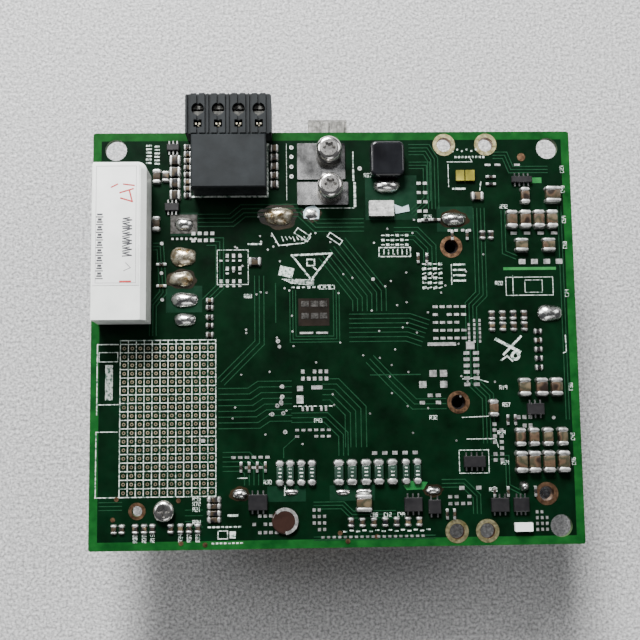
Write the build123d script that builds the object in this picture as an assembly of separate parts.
from build123d import *
import math
import os

# Servo driver board, solder side up, standing on the heatsink and the tall parts of its underside.
# Millimetres.  +X is the board's long way, +Y points at the edge with the pluggable connector, +Z is up.
# Places are given from the middle of the board; the origin is under the middle of the whole part.

# ---------------------------------------------------------------- driving dimensions
BOARD_WIDTH = 116.0          # along X
BOARD_DEPTH = 99.5           # along Y
BOARD_THICKNESS = 1.6
BOARD_CORNER = 0.6
STAND_HEIGHT = 27.0          # floor to the board's underside
PLUG_OVERHANG = 7.25         # how far the plug stands past the board's edge
CORNER_HOLE_X = 52.5         # corner holes, from the middle of the board
CORNER_HOLE_Y = 45.5
CORNER_HOLE_DIAMETER = 5.2
EDGE_HOLE_DIAMETER = 3.6

POLES = 4                    # pluggable connector
POLE_PITCH = 4.8
CONNECTOR_X = -24.9
CONNECTOR_TOP = 8.0          # above the board
HEADER_WIDTH = 17.6
HEADER_DEPTH = 12.9
HEADER_FRONT = 47.2          # Y of the header's open face
PLUG_WIDTH = 20.3
NOSE_WIDTH = 15.9
RIB_DEPTH = 0.7              # grooves between the plug's finger ribs

SINK_WIDTH = 68.0
SINK_DEPTH = 56.0
SINK_Y = 2.0
SINK_BASE = 4.0
SINK_FINS = 14
FIN_THICKNESS = 1.6
MODULE_HEIGHT = 5.5
PAD_THICKNESS = 0.5

RUNNING_GAP = 0.05           # radial gap of a screw in its hole
EASE = 0.02                  # air under a screw head that turns

# ---------------------------------------------------------------- levels and frame
BOARD_TOP = STAND_HEIGHT + BOARD_THICKNESS
BOARD_BOTTOM = STAND_HEIGHT
EDGE_Y = BOARD_DEPTH / 2
PLUG_END = EDGE_Y + PLUG_OVERHANG
BOARD_MIDDLE_Y = -PLUG_OVERHANG / 2      # puts the origin under the middle of the box

PARTS = {}
LEADS = []                               # round leads of the hidden parts, kept together in one node


def save(name, solids):
    """Keeps the solids of one node, moved from the board's middle to the part's origin."""
    group = Compound(children=[shape for shape in flatten(solids)])
    PARTS[name] = Pos(0, BOARD_MIDDLE_Y, 0) * group


def flatten(shapes):
    """Gives every solid in a shape or a list of shapes."""
    if isinstance(shapes, (list, tuple)):
        return [solid for shape in shapes for solid in flatten(shape)]
    return list(shapes.solids())


# ---------------------------------------------------------------- shared shapes
LOW = (Align.CENTER, Align.CENTER, Align.MIN)


def block(x, y, z, width, depth, height, corner=0.0):
    """A block standing on z, with its vertical edges rounded."""
    shape = Box(width, depth, height, align=LOW)
    if corner > 0:
        shape = fillet(shape.edges().filter_by(Axis.Z), corner)
    return Pos(x, y, z) * shape


def rod(x, y, z, radius, height):
    """An upright cylinder standing on z."""
    return Pos(x, y, z) * Cylinder(radius, height, align=LOW)


def span(x0, x1, y0, y1, z0, z1):
    """A box between two corners."""
    return Pos((x0 + x1) / 2, (y0 + y1) / 2, z0) * Box(x1 - x0, y1 - y0, z1 - z0, align=LOW)


def solder_mound(x, y, length, width, height, along_x=True):
    """A low rounded mound of solder on the board's top."""
    turn = 0 if along_x else 90
    if length - width > 0.05:
        outline = SlotOverall(length, width)
    else:
        outline = Circle(width / 2)
    mound = extrude(outline, height)
    mound = fillet(mound.faces().sort_by(Axis.Z)[-1].edges(), min(height, width / 2) * 0.85)
    return Pos(x, y, BOARD_TOP) * Rot(0, 0, turn) * mound


def chip(x, y, length, width, height, along_y=True, cap=0.22):
    """A two-ended chip on the board's top: its body and its two end caps."""
    end = length * cap
    body = Box(width, length - 2 * end, height, align=LOW)
    ends = [Pos(0, side * (length - end) / 2, 0) * Box(width, end, height, align=LOW) for side in (-1, 1)]
    place = Pos(x, y, BOARD_TOP) * Rot(0, 0, 0 if along_y else 90)
    return place * body, [place * shape for shape in ends]


def chips(places, length, width, height, along_y=True):
    """Chips of one size at several places."""
    made = [chip(x, y, length, width, height, along_y) for x, y in places]
    return [body for body, ends in made], [end for body, ends in made for end in ends]


def evenly(first, last, count):
    """Evenly spaced places from the first to the last."""
    return [first + (last - first) * step / (count - 1) for step in range(count)]


# ---------------------------------------------------------------- circuit board
def corner_holes():
    return [(-CORNER_HOLE_X, CORNER_HOLE_Y), (CORNER_HOLE_X, CORNER_HOLE_Y), (CORNER_HOLE_X, -CORNER_HOLE_Y)]


TERMINAL_SCREWS = [(-1.1, 44.3), (-0.9, 35.4)]
GROUND_SCREW = (-40.5, -40.7)
SINK_BOSSES = [(28.3, 21.2), (29.0, -16.3)]
REAR_BOSS = (49.3, -38.0)
EDGE_HOLES = [(27.2, 46.5), (37.4, 46.5), (27.8, -46.4), (35.0, -46.4)]
TOOL_HOLE = (-46.8, -40.7)


def circuit_board():
    board = block(0, 0, BOARD_BOTTOM, BOARD_WIDTH, BOARD_DEPTH, BOARD_THICKNESS, BOARD_CORNER)
    drills = [(place, CORNER_HOLE_DIAMETER) for place in corner_holes()]
    drills += [(place, EDGE_HOLE_DIAMETER) for place in EDGE_HOLES + SINK_BOSSES + [REAR_BOSS]]
    drills += [(place, 3.2) for place in TERMINAL_SCREWS]
    drills += [(GROUND_SCREW, 2.7), (TOOL_HOLE, 2.4)]
    for (x, y), diameter in drills:
        board -= rod(x, y, BOARD_BOTTOM, diameter / 2, BOARD_THICKNESS)
    save("circuit_board", board)


# ---------------------------------------------------------------- pluggable connector
PIN = 0.9
PIN_HEIGHT = BOARD_TOP + 4.0
CAVITY_DEPTH = 9.4
CAVITY_WIDTH = 16.2
NOSE_LENGTH = 8.6
PLUG_BACK = HEADER_FRONT + 0.2
CLAMP_Y = 53.2
HEAD_SEAT = BOARD_TOP + 5.0


def pole_places():
    reach = POLE_PITCH * (POLES - 1) / 2
    return evenly(CONNECTOR_X - reach, CONNECTOR_X + reach, POLES)


def header_pin(x):
    """A square pin that points out of the header and is bent down onto the board."""
    back = HEADER_FRONT - HEADER_DEPTH + 1.2
    half = PIN / 2
    level = span(x - half, x + half, back, HEADER_FRONT - 2.6, PIN_HEIGHT - half, PIN_HEIGHT + half)
    leg = span(x - half, x + half, back, back + PIN, BOARD_TOP, PIN_HEIGHT - half)
    return level + leg


def plug_header():
    middle = HEADER_FRONT - HEADER_DEPTH / 2
    shell = block(CONNECTOR_X, middle, BOARD_TOP, HEADER_WIDTH, HEADER_DEPTH, CONNECTOR_TOP)
    shell = chamfer(shell.faces().sort_by(Axis.Z)[-1].edges(), 0.3)
    half = CAVITY_WIDTH / 2
    shell -= span(CONNECTOR_X - half, CONNECTOR_X + half, HEADER_FRONT - CAVITY_DEPTH, HEADER_FRONT,
                  BOARD_TOP + 1.4, BOARD_TOP + 6.6)
    pins = [header_pin(x) for x in pole_places()]
    for pin in pins:
        shell -= pin
    save("plug_header", shell)
    save("header_pins", pins)


def clamp_pocket(x):
    """The room for one clamp: the cage's pocket, the screw's well and the wire's way in."""
    pocket = span(x - 1.75, x + 1.75, CLAMP_Y - 1.95, CLAMP_Y + 1.95, BOARD_TOP - 3.0, BOARD_TOP + 4.5)
    neck = rod(x, CLAMP_Y, BOARD_TOP + 4.5, 0.95 + RUNNING_GAP + 0.05, 0.5)
    well = rod(x, CLAMP_Y, HEAD_SEAT, 1.5, CONNECTOR_TOP - 5.0)
    entry = span(x - 1.5, x + 1.5, CLAMP_Y + 1.95, PLUG_END, BOARD_TOP - 2.1, BOARD_TOP + 1.5)
    return [pocket, neck, well, entry]


def plug_contact(x):
    """A bright contact: a strip under the pin, and a tab that shows in the test slot."""
    strip = span(x - 0.6, x + 0.6, PLUG_BACK - 7.6, PLUG_BACK + 2.5, PIN_HEIGHT - 0.7, PIN_HEIGHT - 0.5)
    tab = span(x - 0.6, x + 0.6, PLUG_BACK + 2.1, PLUG_BACK + 2.5, PIN_HEIGHT - 0.5, PIN_HEIGHT + 3.6)
    fork = span(x - 0.22, x + 0.22, PLUG_BACK + 2.1, PLUG_BACK + 2.5, PIN_HEIGHT + 2.0, PIN_HEIGHT + 3.6)
    return strip + tab - fork


def plug_housing():
    half = PLUG_WIDTH / 2
    left = CONNECTOR_X - half
    right = CONNECTOR_X + half
    body = span(left, right, PLUG_BACK, PLUG_END, BOARD_TOP + 0.4, BOARD_TOP + CONNECTOR_TOP)
    body += span(left, right, EDGE_Y + 0.35, PLUG_END, BOARD_TOP - 3.8, BOARD_TOP + 0.4)
    body = chamfer(body.faces().sort_by(Axis.Y)[-1].edges().filter_by(Axis.Z), 0.6)
    nose = NOSE_WIDTH / 2
    body += span(CONNECTOR_X - nose, CONNECTOR_X + nose, PLUG_BACK - NOSE_LENGTH, PLUG_BACK,
                 BOARD_TOP + 1.65, BOARD_TOP + 6.35)
    contacts = [plug_contact(x) for x in pole_places()]
    for x, contact in zip(pole_places(), contacts):
        for room in clamp_pocket(x):
            body -= room
        body -= span(x - 0.75, x + 0.75, PLUG_BACK - NOSE_LENGTH, PLUG_BACK - 1.0,
                     PIN_HEIGHT - 0.7, PIN_HEIGHT + 0.75)
        body -= span(x - 0.95, x + 0.95, PLUG_BACK + 1.4, PLUG_BACK + 3.2,
                     PIN_HEIGHT + 2.0, BOARD_TOP + CONNECTOR_TOP)
        body -= contact
    grooves = [x + side * 1.95 for x in pole_places() for side in (-1, 0, 1)]
    for x in grooves + [left + 0.8, right - 0.8]:
        body -= span(x - 0.3, x + 0.3, PLUG_BACK, PLUG_END, BOARD_TOP + CONNECTOR_TOP - RIB_DEPTH,
                     BOARD_TOP + CONNECTOR_TOP)
    save("plug_housing", body)
    save("plug_contacts", contacts)


def clamp_screw(x):
    """A slotted captive screw in the plug's well."""
    seat = HEAD_SEAT + EASE
    screw = rod(x, CLAMP_Y, seat, 1.35, 1.8) + rod(x, CLAMP_Y, BOARD_TOP + 1.0, 0.95, seat - BOARD_TOP - 1.0)
    return screw - span(x - 1.4, x + 1.4, CLAMP_Y - 0.25, CLAMP_Y + 0.25, seat + 1.0, seat + 1.8)


def clamp_cage(x):
    """The cage that the screw draws up round the wire."""
    cage = span(x - 1.6, x + 1.6, CLAMP_Y - 1.8, CLAMP_Y + 1.8, BOARD_TOP - 2.8, BOARD_TOP + 2.6)
    cage -= span(x - 1.15, x + 1.15, CLAMP_Y - 1.8, CLAMP_Y + 1.8, BOARD_TOP - 2.1, BOARD_TOP + 1.5)
    return cage - rod(x, CLAMP_Y, BOARD_TOP + 1.5, 0.95 + RUNNING_GAP, 1.1)


def clamps():
    for number, x in enumerate(pole_places(), start=1):
        save(f"clamp_screw_{number}", clamp_screw(x))
        save(f"clamp_cage_{number}", clamp_cage(x))


# ---------------------------------------------------------------- white header with its label
WHITE_LEFT = -56.3
WHITE_WIDTH = 12.4
WHITE_TOP = 9.5
WHITE_LOW_Y = 3.1
WHITE_HIGH_Y = 40.3
WHITE_MOUTH_DEPTH = 8.6
WHITE_PINS = 8


def white_pin(y):
    """A pin that points out over the board's edge and is bent down behind the cavity."""
    half = 0.55
    level = BOARD_TOP + 4.75
    reach = span(WHITE_LEFT + 4.4, WHITE_LEFT + 10.6, y - half, y + half, level - half, level + half)
    leg = span(WHITE_LEFT + 9.5, WHITE_LEFT + 10.6, y - half, y + half, BOARD_TOP, level - half)
    return reach + leg


def white_header():
    left = WHITE_LEFT
    right = left + WHITE_WIDTH
    body = span(left, right, WHITE_LOW_Y, WHITE_HIGH_Y, BOARD_TOP, BOARD_TOP + WHITE_TOP)
    corner = body.edges().filter_by(Axis.Z).group_by(Axis.X)[-1].sort_by(Axis.Y)[-1]
    body = fillet(corner, 2.0)
    shoulder = body.faces().sort_by(Axis.Z)[-1].edges().filter_by(Axis.Y).sort_by(Axis.X)[-1]
    body = chamfer(shoulder, 1.2)
    body -= span(left, left + WHITE_MOUTH_DEPTH, WHITE_LOW_Y + 2.2, WHITE_HIGH_Y - 2.2, BOARD_TOP + 1.5, BOARD_TOP + 8.0)
    for y in (WHITE_LOW_Y + 9.0, WHITE_HIGH_Y - 9.0):
        body -= span(left, left + 3.0, y - 1.2, y + 1.2, BOARD_TOP + 0.6, BOARD_TOP + 1.5)
    pins = [white_pin(y) for y in evenly(WHITE_LOW_Y + 4.7, WHITE_HIGH_Y - 4.7, WHITE_PINS)]
    for pin in pins:
        body -= pin
    save("white_header_housing", body)
    save("white_header_pins", pins)
    label = block(left + 5.6, WHITE_HIGH_Y - 15.0, BOARD_TOP + WHITE_TOP, 10.6, 28.6, 0.12)
    save("paper_label", label)


# ---------------------------------------------------------------- power terminals
PLATE_THICKNESS = 0.8
SPACER_HEIGHT = 2.6
BAR_THICKNESS = 3.0


def six_lobe_recess(x, y, z, depth):
    shapes = [rod(x, y, z - depth, 1.05, depth)]
    for step in range(6):
        turn = math.radians(60 * step)
        shapes.append(rod(x + 1.15 * math.cos(turn), y + 1.15 * math.sin(turn), z - depth, 0.36, depth))
    return shapes


def terminal_screw(x, y):
    seat = BOARD_TOP + PLATE_THICKNESS + SPACER_HEIGHT
    head = rod(x, y, seat, 3.1, 2.6)
    head = fillet(head.faces().sort_by(Axis.Z)[-1].edges(), 1.2)
    for room in six_lobe_recess(x, y, seat + 2.6, 1.4):
        head -= room
    tip = BOARD_BOTTOM - BAR_THICKNESS - 1.5
    return head + rod(x, y, tip, 1.5, seat - tip)


def power_terminals():
    plates = [block(-2.9, 42.35, BOARD_TOP, 11.6, 9.0, PLATE_THICKNESS, 0.3),
              block(-2.6, 34.4, BOARD_TOP, 12.3, 5.6, PLATE_THICKNESS, 0.3)]
    bar = span(-5.9, 3.6, 31.5, EDGE_Y + 3.9, BOARD_BOTTOM - BAR_THICKNESS, BOARD_BOTTOM)
    far_edge = bar.faces().sort_by(Axis.Z)[-1].edges().filter_by(Axis.X).sort_by(Axis.Y)[-1]
    bar = chamfer(far_edge, 0.8)
    spacers = []
    for x, y in TERMINAL_SCREWS:
        plates = [plate - rod(x, y, BOARD_TOP, 1.6, PLATE_THICKNESS) for plate in plates]
        bar -= rod(x, y, BOARD_BOTTOM - BAR_THICKNESS, 1.5 + RUNNING_GAP, BAR_THICKNESS)
        sleeve = rod(x, y, BOARD_TOP + PLATE_THICKNESS, 2.3, SPACER_HEIGHT)
        spacers.append(sleeve - rod(x, y, BOARD_TOP + PLATE_THICKNESS, 1.5 + RUNNING_GAP, SPACER_HEIGHT))
    save("terminal_plates", plates)
    save("terminal_bar", bar)
    save("terminal_spacers", spacers)
    save("terminal_screws", [terminal_screw(x, y) for x, y in TERMINAL_SCREWS])


def ground_screw():
    x, y = GROUND_SCREW
    head = rod(x, y, BOARD_TOP, 2.5, 1.9)
    head = fillet(head.faces().sort_by(Axis.Z)[-1].edges(), 1.0)
    for turn in (0, 90):
        head -= Pos(x, y, BOARD_TOP + 0.7) * Rot(0, 0, turn) * Box(3.0, 0.75, 1.2, align=LOW)
    shank = 9.0
    save("ground_screw", head + rod(x, y, BOARD_TOP - shank, 1.25, shank))
    pillar = extrude(RegularPolygon(3.2, 6), STAND_HEIGHT)
    pillar = Pos(x, y, 0) * pillar
    pillar -= rod(x, y, BOARD_TOP - shank - 1.0, 1.25 + RUNNING_GAP, shank + 1.0 - BOARD_THICKNESS)
    save("ground_pillar", pillar)


# ---------------------------------------------------------------- power parts on top
def top_power_parts():
    body = block(13.0, 42.3, BOARD_TOP, 8.2, 8.6, 3.6, 1.5)
    body = fillet(body.faces().sort_by(Axis.Z)[-1].edges(), 0.7)
    save("power_diode", body)
    save("power_diode_tab", solder_mound(13.0, 36.2, 6.6, 3.4, 1.9))
    block_end = block(11.5, 30.5, BOARD_TOP, 6.0, 3.8, 1.5, 0.2)
    save("tinned_link", block_end)
    stopper = rod(-12.4, -43.4, BOARD_TOP, 3.1, 0.9)
    stopper = fillet(stopper.faces().sort_by(Axis.Z)[-1].edges(), 0.5)
    save("round_slug", stopper)


# ---------------------------------------------------------------- solder joints on top
def solder_joints():
    tinned = [(-36.1, 27.2, 4.6, 3.1, 1.2), (-35.9, 8.8, 6.6, 3.6, 1.3), (-35.8, 4.0, 5.3, 3.1, 1.2),
              (29.1, 28.0, 6.0, 3.2, 1.5), (-22.9, -37.1, 3.5, 2.3, 1.0), (-10.9, -36.8, 3.3, 1.5, 0.6),
              (1.2, -37.0, 3.3, 1.5, 0.6), (6.2, -36.9, 3.8, 1.4, 0.6), (22.4, -36.9, 3.5, 1.9, 0.8),
              (51.6, 4.8, 6.2, 4.0, 1.4)]
    golden = [(-36.6, 13.8, 5.8, 3.6, 1.3), (-13.3, 29.0, 7.0, 4.3, 1.5), (-36.3, 19.2, 6.2, 4.6, 1.4)]
    save("tin_solder_joints", [solder_mound(*size) for size in tinned])
    save("flux_stained_joints", [solder_mound(*size) for size in golden])
    save("solder_balls", [solder_mound(43.9, -36.2, 2.4, 2.4, 1.6), solder_mound(-5.4, 29.4, 3.6, 2.8, 0.5)])


# ---------------------------------------------------------------- small parts on top
def ceramic_capacitors():
    rows = [chips([(x, 27.7) for x in (43.1, 46.4, 49.7, 52.9)], 4.2, 2.5, 1.6),
            chips([(x, -24.7) for x in (43.4, 46.6, 49.9, 53.4)], 4.0, 2.2, 1.6),
            chips([(x, -30.5) for x in (43.4, 46.5, 49.9, 53.4)], 4.9, 2.6, 1.8),
            chips([(44.8, -12.9), (48.9, -12.9), (52.4, -12.9)], 4.0, 2.6, 1.6),
            chips([(45.3, 21.4), (51.9, 21.4)], 3.0, 2.9, 1.4),
            chips([(53.3, 33.7), (6.1, -39.5)], 3.8, 3.5, 1.8),
            chips([(46.6, 33.6), (37.3, -17.8)], 3.8, 2.0, 1.3)]
    save("ceramic_capacitors", [body for bodies, ends in rows for body in bodies])
    save("capacitor_ends", [end for bodies, ends in rows for end in ends])


def sense_chip_row():
    """The row of upright chips along the board's lower middle."""
    narrow = [(x, -32.4) for x in (-13.5, -11.1, -8.5, -6.0, 16.1, 18.8)]
    wide = [(x, -32.4) for x in (0.3, 3.4, 6.7, 9.7, 12.9)]
    rows = [chips(narrow, 5.6, 1.6, 1.0), chips(wide, 5.6, 2.1, 1.2)]
    save("row_chips", [body for bodies, ends in rows for body in bodies])
    save("row_chip_ends", [end for bodies, ends in rows for end in ends])


def small_chips():
    left_row = [(x, -44.8) for x in (-52.1, -50.3, -47.2, -45.1, -43.2, -39.0, -36.7, -34.7, -32.7)]
    stack = [(-28.9, y) for y in (-38.3, -39.8, -41.4, -42.9)]
    beside_header = [(-14.3, y) for y in evenly(36.8, 45.8, 5)]
    lamps = [(-29.9, y) for y in (0.4, 2.6, 4.6, 6.9, 8.6)]
    outer = [(-38.2, y) for y in (34.3, 37.2, 40.0, 42.9)]
    bottom = [(x, -44.0) for x in evenly(3.0, 19.0, 7)]
    right = [(48.6, y) for y in evenly(-8.2, 0.4, 5)]
    mid = [(x, 24.0) for x in (36.0, 38.0)]
    inner = [(-35.2, y) for y in evenly(34.2, 46.2, 8)]
    cluster = [(x, y) for x in (37.6, 40.2, 42.8, 45.4) for y in (4.4, 1.7)]
    by_white = [(-42.6, 38.9), (-42.7, 27.3)]
    rows = [chips(left_row, 1.9, 1.1, 0.6), chips(stack, 2.9, 1.1, 0.6, along_y=False),
            chips(beside_header, 1.8, 1.5, 0.7, along_y=False), chips(lamps, 1.5, 0.9, 0.6, along_y=False),
            chips(outer, 2.4, 2.2, 0.9, along_y=False), chips(bottom, 1.9, 1.1, 0.6),
            chips(right, 1.6, 0.9, 0.5, along_y=False), chips(mid, 1.9, 1.1, 0.6),
            chips(inner, 1.6, 1.1, 0.6, along_y=False), chips(cluster, 1.9, 1.2, 0.6),
            chips(by_white, 3.3, 1.7, 0.9), chips([(-40.5, 38.9)], 2.4, 1.5, 0.7),
            chips([(-19.1, 17.9), (35.0, 33.6)], 2.8, 1.8, 0.8, along_y=False)]
    save("chip_resistors", [body for bodies, ends in rows for body in bodies])
    save("chip_resistor_ends", [end for bodies, ends in rows for end in ends])


def small_package(x, y, length, width, height, pins, pitch):
    """A small package with gull legs on its two long sides, drawn along X."""
    body = block(x, y, BOARD_TOP + 0.1, length, width, height)
    body = chamfer(body.faces().sort_by(Axis.Z)[-1].edges(), 0.15)
    legs = []
    reach = 0.9
    for place in evenly(x - pitch * (pins - 1) / 2, x + pitch * (pins - 1) / 2, pins):
        for side in (-1, 1):
            middle = y + side * (width + reach) / 2
            legs.append(block(place, middle, BOARD_TOP, 0.35, reach, 0.35))
    return body, legs


def small_packages():
    made = [small_package(32.3, -30.3, 5.1, 2.6, 1.3, 4, 1.27), small_package(38.0, -40.4, 4.2, 3.2, 1.3, 3, 1.27),
            small_package(43.0, -40.4, 3.6, 3.2, 1.3, 3, 1.0), small_package(-18.7, -39.0, 4.4, 3.6, 1.4, 3, 1.27),
            small_package(17.6, -40.0, 4.2, 3.2, 1.3, 3, 1.27), small_package(22.6, -40.6, 2.9, 3.2, 1.2, 2, 1.5),
            small_package(45.9, 37.6, 5.0, 1.5, 1.0, 4, 1.1), small_package(-38.9, 31.3, 3.4, 1.9, 1.0, 3, 0.95),
            small_package(47.2, -18.1, 4.0, 2.6, 1.3, 3, 1.27), small_package(-38.7, 46.0, 3.0, 1.6, 1.0, 3, 0.95)]
    save("small_packages", [body for body, legs in made])
    save("package_legs", [legs for body, legs in made])


def odd_white_part():
    save("white_filter", block(43.4, -45.6, BOARD_TOP, 4.2, 2.0, 1.2, 0.2))


# ---------------------------------------------------------------- heatsink side, under the board
def heatsink():
    base_top = BOARD_BOTTOM - MODULE_HEIGHT - PAD_THICKNESS
    base_low = base_top - SINK_BASE
    sink = span(-SINK_WIDTH / 2, SINK_WIDTH / 2, SINK_Y - SINK_DEPTH / 2, SINK_Y + SINK_DEPTH / 2,
                base_low, base_top)
    first = -(SINK_WIDTH - FIN_THICKNESS) / 2
    for x in evenly(first, -first, SINK_FINS):
        sink += span(x - FIN_THICKNESS / 2, x + FIN_THICKNESS / 2, SINK_Y - SINK_DEPTH / 2,
                     SINK_Y + SINK_DEPTH / 2, 0, base_low)
    for x, y in SINK_BOSSES:
        sink += rod(x, y, base_top, 3.8, BOARD_BOTTOM - base_top)
        sink -= rod(x, y, base_low + 1.0, 1.25, BOARD_BOTTOM - base_low - 1.0)
    save("heatsink", sink)
    save("thermal_pad", block(-5.0, SINK_Y, base_top, 42.0, 28.0, PAD_THICKNESS))


def power_module():
    low = BOARD_BOTTOM - MODULE_HEIGHT
    body = block(-5.0, SINK_Y, low, 44.0, 30.0, MODULE_HEIGHT - 1.2, 1.0)
    save("power_module", body)
    pins = []
    for x in evenly(-24.0, 14.0, 12):
        for side in (-1, 1):
            pins.append(block(x, SINK_Y + side * 15.7, low + 2.0, 0.8, 1.4, MODULE_HEIGHT - 2.0))
    save("power_module_pins", pins)


CAN_RADIUS = 8.0
CAN_PLACES = [(48.5, 27.0), (48.5, 8.5), (48.5, -10.0)]


def leads_from(z, radius, places):
    """Adds round leads that run from z up to the board's underside."""
    for x, y in places:
        LEADS.append(rod(x, y, z, radius, BOARD_BOTTOM - z))


def bus_capacitors():
    cans = []
    bungs = []
    for x, y in CAN_PLACES:
        can = rod(x, y, 0.3, CAN_RADIUS, 24.2)
        can = fillet(can.faces().sort_by(Axis.Z)[0].edges(), 1.0)
        can -= Pos(x, y, 22.2) * (Cylinder(CAN_RADIUS + 1, 1.2) - Cylinder(CAN_RADIUS - 0.5, 1.2))
        cans.append(can)
        bungs.append(rod(x, y, 24.5, CAN_RADIUS - 1.0, 1.2))
        leads_from(25.7, 0.4, [(x - 3.75, y), (x + 3.75, y)])
    save("bus_capacitor_cans", cans)
    save("bus_capacitor_bungs", bungs)


TRANSFORMER = (-8.0, -38.2)


def transformer():
    x, y = TRANSFORMER
    core = span(x - 12.5, x + 12.5, y - 5.5, y + 5.5, 2.0, 22.0)
    core -= span(x - 8.7, x + 8.7, y - 5.5, y + 5.5, 5.5, 18.5)
    core += rod(x, y, 5.5, 4.2, 13.0)
    winding = rod(x, y, 6.7, 8.0, 10.6) - rod(x, y, 6.7, 5.2, 10.6)
    bobbin = rod(x, y, 5.6, 5.2, 12.8) - rod(x, y, 5.6, 4.3, 12.8)
    bobbin += rod(x, y, 5.6, 8.4, 1.0) - rod(x, y, 5.6, 5.0, 1.0)
    bobbin += rod(x, y, 17.4, 8.4, 1.0) - rod(x, y, 17.4, 5.0, 1.0)
    foot = span(x - 12.0, x + 12.0, y - 9.5, y + 9.5, 22.1, 24.6)
    leads_from(24.6, 0.4, [(px, y + side * 7.8) for px in evenly(x - 10.0, x + 10.0, 5) for side in (-1, 1)])
    save("transformer_core", core)
    save("transformer_bobbin", bobbin)
    save("transformer_winding", winding)
    save("transformer_foot", foot)


def choke():
    x, y = (24.0, -37.5)
    ring = Pos(x, y, 12.0) * Rot(90, 0, 0) * (Cylinder(9.5, 8.0) - Cylinder(5.0, 8.0))
    turns = []
    for step in range(14):
        angle = 25 + step * 10 if step < 7 else 155 + step * 10 - 10
        loop = Box(5.9, 9.8, 1.15) - Box(4.7, 8.2, 1.15)
        turn = math.radians(angle)
        turns.append(Pos(x + 7.25 * math.cos(turn), y, 12.0 + 7.25 * math.sin(turn))
                     * Rot(0, -angle, 0) * loop)
    stand = span(x - 9.0, x + 9.0, y - 6.0, y + 6.0, 22.6, 24.6)
    leads_from(24.6, 0.5, [(x + sx * 7.0, y + sy * 4.5) for sx in (-1, 1) for sy in (-1, 1)])
    save("choke_core", ring)
    save("choke_winding", turns)
    save("choke_stand", stand)


def relay_and_fuse():
    relay = block(-47.0, 24.0, 10.5, 19.0, 27.0, 15.5, 0.8)
    relay = chamfer(relay.faces().sort_by(Axis.Z)[0].edges(), 0.5)
    save("relay_cover", relay)
    leads_from(26.0, 0.6, [(-54.0, 14.0), (-40.0, 14.0), (-54.0, 34.0), (-40.0, 34.0), (-47.0, 34.0)])
    film = block(-47.0, -3.0, 8.0, 18.0, 10.0, 18.0, 0.8)
    save("film_capacitor", film)
    leads_from(26.0, 0.4, [(-54.5, -3.0), (-39.5, -3.0)])
    fuse = Pos(-47.0, -18.0, 21.0) * Rot(0, 90, 0) * Cylinder(2.6, 12.0)
    save("fuse_tube", fuse)
    caps = [Pos(-47.0 + side * 8.0, -18.0, 21.0) * Rot(0, 90, 0) * Cylinder(2.8, 4.0) for side in (-1, 1)]
    save("fuse_caps", caps)
    clips = []
    for side in (-1, 1):
        clip = block(-47.0 + side * 8.0, -18.0, 17.6, 3.6, 7.2, BOARD_BOTTOM - 17.6)
        clip -= Pos(-47.0 + side * 8.0, -18.0, 21.0) * Rot(0, 90, 0) * Cylinder(2.8, 4.2)
        clip -= block(-47.0 + side * 8.0, -18.0, 17.0, 4.0, 4.4, 3.0)
        clips.append(clip)
    save("fuse_clips", clips)


def control_socket():
    socket = block(25.0, 41.2, BOARD_BOTTOM - 8.5, 26.0, 5.0, 8.5)
    for x in evenly(14.0, 36.0, 10):
        for side in (-1, 1):
            socket -= block(x, 41.2 + side * 1.2, BOARD_BOTTOM - 8.5, 0.8, 0.8, 6.0)
    save("control_socket", socket)
    save("rear_boss", rod(REAR_BOSS[0], REAR_BOSS[1], 0, 3.2, BOARD_BOTTOM)
         - rod(REAR_BOSS[0], REAR_BOSS[1], BOARD_BOTTOM - 8.0, 1.25, 8.0))


# ---------------------------------------------------------------- the whole part
def build():
    circuit_board()
    plug_header()
    plug_housing()
    clamps()
    white_header()
    power_terminals()
    ground_screw()
    top_power_parts()
    solder_joints()
    ceramic_capacitors()
    sense_chip_row()
    small_chips()
    small_packages()
    odd_white_part()
    heatsink()
    power_module()
    bus_capacitors()
    transformer()
    choke()
    relay_and_fuse()
    control_socket()
    save("through_hole_leads", LEADS)


def write():
    os.makedirs("parts", exist_ok=True)
    for name, shape in PARTS.items():
        export_step(shape, f"parts/{name}.step")


build()
write()
